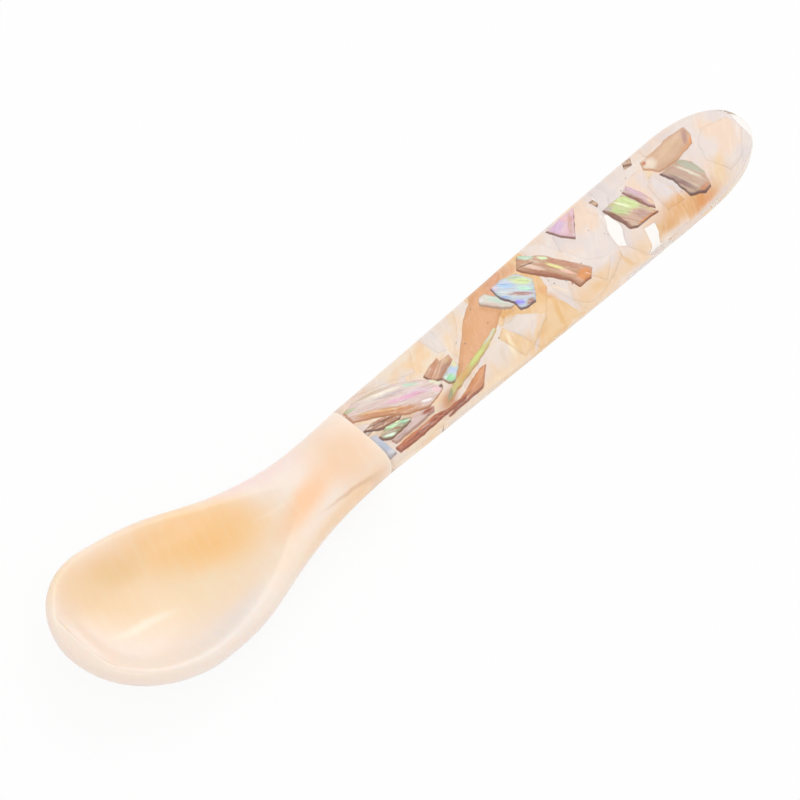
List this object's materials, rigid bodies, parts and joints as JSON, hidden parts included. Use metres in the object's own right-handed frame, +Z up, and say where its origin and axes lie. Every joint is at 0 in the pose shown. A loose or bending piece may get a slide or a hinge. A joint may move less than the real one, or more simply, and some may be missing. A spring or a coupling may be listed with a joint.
{
  "type": "caviar spoon",
  "caption": "Short caviar spoon with a carved mother-of-pearl bowl and a clear resin handle set with abalone and pearl shell.",
  "frame": {"origin": "middle of the spoon's length and width, on the table it rests on", "axes": "+X along the spoon from the bowl's tip to the handle's tip, +Z up out of the bowl's hollow"},
  "size_m": [0.127, 0.0255, 0.0096],
  "materials": {
    "mother_of_pearl": "polished cream and peach mother-of-pearl",
    "clear_resin": "polished clear casting resin",
    "abalone_shell": "iridescent broken abalone shell",
    "pearl_flakes": "cream and pinkish mother-of-pearl flakes"
  },
  "bodies": {
    "root": {"bowl": "mother_of_pearl", "handle_resin": "clear_resin", "abalone_blade": "abalone_shell", "abalone_curved": "abalone_shell", "abalone_diamond": "abalone_shell", "abalone_strip": "abalone_shell", "abalone_triangle": "abalone_shell", "abalone_long": "abalone_shell", "abalone_blue": "abalone_shell", "abalone_pale": "abalone_shell", "abalone_broad": "abalone_shell", "abalone_ribbon": "abalone_shell", "abalone_brown": "abalone_shell", "abalone_mint": "abalone_shell", "abalone_notch": "abalone_shell", "abalone_lance": "abalone_shell", "abalone_lump": "abalone_shell", "abalone_root": "abalone_shell", "abalone_red": "abalone_shell", "abalone_mauve": "abalone_shell", "abalone_collar": "abalone_shell", "abalone_wedge": "abalone_shell", "abalone_under_blade": "abalone_shell", "abalone_under_leaf": "abalone_shell", "abalone_under_shard": "abalone_shell", "abalone_under_tip": "abalone_shell", "pearl_flake_01": "pearl_flakes", "pearl_flake_02": "pearl_flakes", "pearl_flake_03": "pearl_flakes", "pearl_flake_04": "pearl_flakes", "pearl_flake_05": "pearl_flakes", "pearl_flake_06": "pearl_flakes", "pearl_flake_07": "pearl_flakes", "pearl_flake_08": "pearl_flakes", "pearl_flake_09": "pearl_flakes", "pearl_flake_10": "pearl_flakes", "pearl_flake_11": "pearl_flakes", "pearl_flake_12": "pearl_flakes", "pearl_flake_13": "pearl_flakes", "pearl_flake_14": "pearl_flakes", "pearl_flake_15": "pearl_flakes", "pearl_flake_16": "pearl_flakes", "pearl_flake_17": "pearl_flakes", "pearl_flake_18": "pearl_flakes", "pearl_flake_19": "pearl_flakes", "pearl_flake_20": "pearl_flakes", "pearl_flake_21": "pearl_flakes", "pearl_flake_22": "pearl_flakes", "pearl_flake_23": "pearl_flakes", "pearl_flake_24": "pearl_flakes", "pearl_flake_25": "pearl_flakes", "pearl_flake_26": "pearl_flakes", "pearl_flake_27": "pearl_flakes", "pearl_flake_28": "pearl_flakes", "pearl_flake_29": "pearl_flakes", "pearl_flake_30": "pearl_flakes"}
  },
  "joints": []
}
